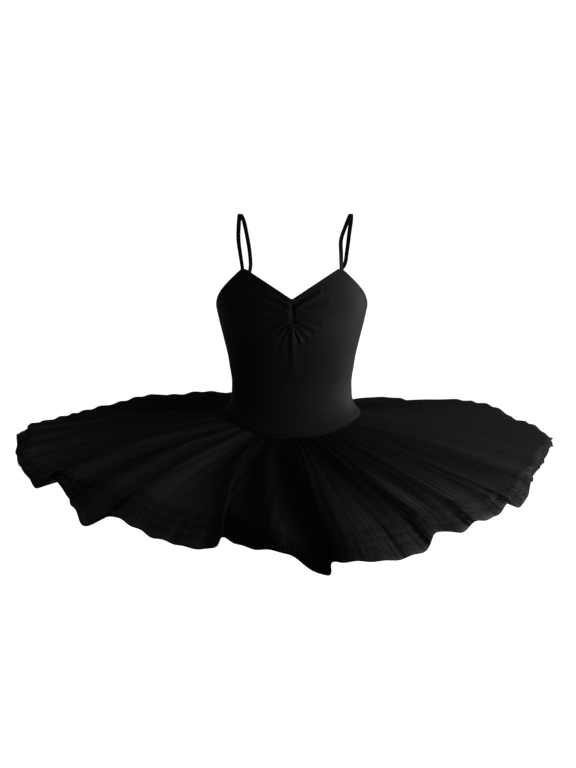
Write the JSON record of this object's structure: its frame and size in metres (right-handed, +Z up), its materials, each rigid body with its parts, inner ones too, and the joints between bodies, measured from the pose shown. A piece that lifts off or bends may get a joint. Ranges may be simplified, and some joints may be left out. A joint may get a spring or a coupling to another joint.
{
  "type": "skirted leotard",
  "caption": "Hollow camisole leotard with a gathered V-neck front, narrow shoulder straps and a wide layered tulle skirt standing out from the hips.",
  "frame": {"origin": "midway between the shoulder straps, level with the underside of their tops, where the wearer's shoulders carry the garment", "axes": "+Z up, the garment's front faces -Y, +X is the right side of a front view"},
  "size_m": [0.9618, 0.9622, 0.5385],
  "materials": {
    "jersey": "black stretch jersey with a soft sheen",
    "binding": "black folded jersey binding over elastic",
    "strap_elastic": "black woven elastic",
    "tulle": "matt black tulle"
  },
  "bodies": {
    "root": {"bodice_front": "jersey", "bodice_back": "jersey", "brief_front": "jersey", "brief_back": "jersey", "neck_binding_front": "binding", "neck_binding_back": "binding", "armhole_binding_left": "binding", "armhole_binding_right": "binding", "leg_binding_left": "binding", "leg_binding_right": "binding", "strap_left": "strap_elastic", "strap_right": "strap_elastic", "tulle_layer_1_back_left": "tulle", "tulle_layer_1_front_left": "tulle", "tulle_layer_1_front_right": "tulle", "tulle_layer_1_back_right": "tulle", "tulle_layer_2_back_left": "tulle", "tulle_layer_2_front_left": "tulle", "tulle_layer_2_front_right": "tulle", "tulle_layer_2_back_right": "tulle", "tulle_layer_3_back_left": "tulle", "tulle_layer_3_front_left": "tulle", "tulle_layer_3_front_right": "tulle", "tulle_layer_3_back_right": "tulle", "tulle_layer_4_back_left": "tulle", "tulle_layer_4_front_left": "tulle", "tulle_layer_4_front_right": "tulle", "tulle_layer_4_back_right": "tulle"}
  },
  "joints": []
}
